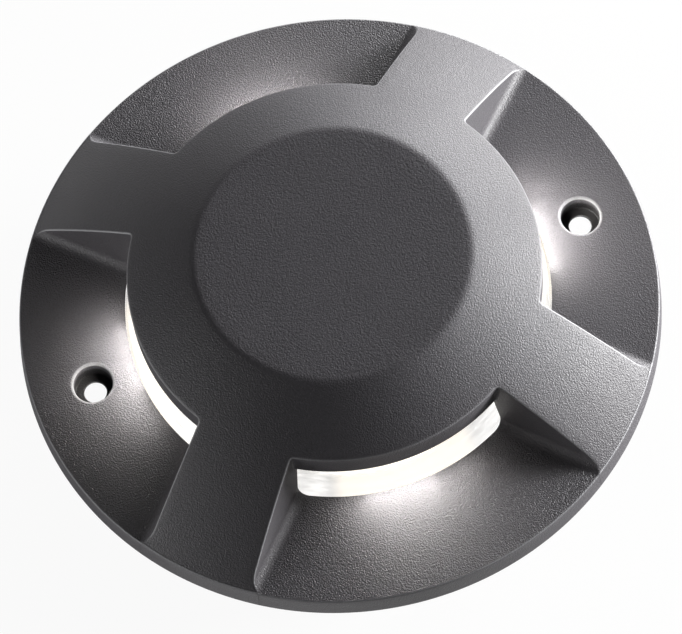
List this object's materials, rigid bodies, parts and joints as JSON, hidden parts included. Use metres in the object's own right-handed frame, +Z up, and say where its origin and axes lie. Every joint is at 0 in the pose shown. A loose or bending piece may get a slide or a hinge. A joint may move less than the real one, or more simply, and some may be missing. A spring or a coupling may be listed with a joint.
{
  "type": "in ground well light",
  "caption": "Drive-over ground light: domed round cover with side windows between arms, glass cup, light engine, sealed lamp body with cable gland and vent.",
  "frame": {"origin": "centre of the flange's seating land, on the light's axis", "axes": "+Z up out of the ground, +X through one window and one fixing hole, +Y along the cable gland"},
  "size_m": [0.18, 0.18, 0.096],
  "materials": {
    "coated_casting": "fine textured powder coat, anthracite",
    "clear_glass": "pressed clear glass",
    "seal_rubber": "matt silicone rubber",
    "bright_reflector": "polished spun aluminium",
    "white_board": "white solder mask",
    "led_phosphor": "yellow phosphor",
    "white_plastic": "moulded nylon",
    "thermal_grey": "soft thermal pad",
    "plain_aluminium": "milled",
    "screw_steel": "stainless steel",
    "driver_case": "potted black case",
    "lead_insulation": "coloured wire insulation",
    "earth_insulation": "green and yellow insulation",
    "tinned_copper": "tinned copper",
    "brass": "plain brass",
    "gland_plastic": "black polyamide",
    "slip_plastic": "natural acetal",
    "membrane": "white vent membrane"
  },
  "bodies": {
    "housing": {"cover": "coated_casting", "lens": "clear_glass", "lens_upper_gasket": "seal_rubber", "lens_lower_gasket": "seal_rubber", "reflector": "bright_reflector", "reflector_screw": "screw_steel", "led_board": "white_board", "led_chips": "led_phosphor", "led_connector": "white_plastic", "led_board_screws": "screw_steel", "thermal_pad": "thermal_grey", "heat_plate": "plain_aluminium", "heat_plate_screws": "screw_steel", "wire_grommet": "seal_rubber", "led_leads": "lead_insulation", "led_driver": "driver_case", "driver_screws": "screw_steel", "mains_leads": "lead_insulation", "earth_lead": "earth_insulation", "earth_ring": "tinned_copper", "earth_screw": "brass", "terminal_block": "white_plastic", "terminal_screws": "screw_steel", "terminal_mount_screws": "screw_steel", "lamp_body": "coated_casting", "cover_screws": "screw_steel", "cover_screw_washers": "screw_steel", "gland_body": "gland_plastic", "gland_flat_seal": "seal_rubber", "gland_locknut": "gland_plastic", "gland_insert": "seal_rubber", "vent_plug": "gland_plastic", "vent_seal": "seal_rubber", "vent_membrane": "membrane"},
    "gland_ring": {"gland_slip_ring": "slip_plastic"},
    "gland_nut": {"gland_cap_nut": "gland_plastic"}
  },
  "joints": [
    {"name": "gland_ring_slide", "type": "slide", "parent": "housing", "child": "gland_ring", "axis": [0, 1, 0], "range_m": [0, 0.003]},
    {"name": "gland_nut_turn", "type": "hinge", "parent": "gland_ring", "child": "gland_nut", "pos_m": [0, 0.0742, -0.036], "axis": [0, 1, 0], "range_deg": [0, 720]}
  ],
  "couplings": [
    {"joint": "gland_nut_turn", "follows": "gland_ring_slide", "rad_per_m": 4188.8}
  ]
}
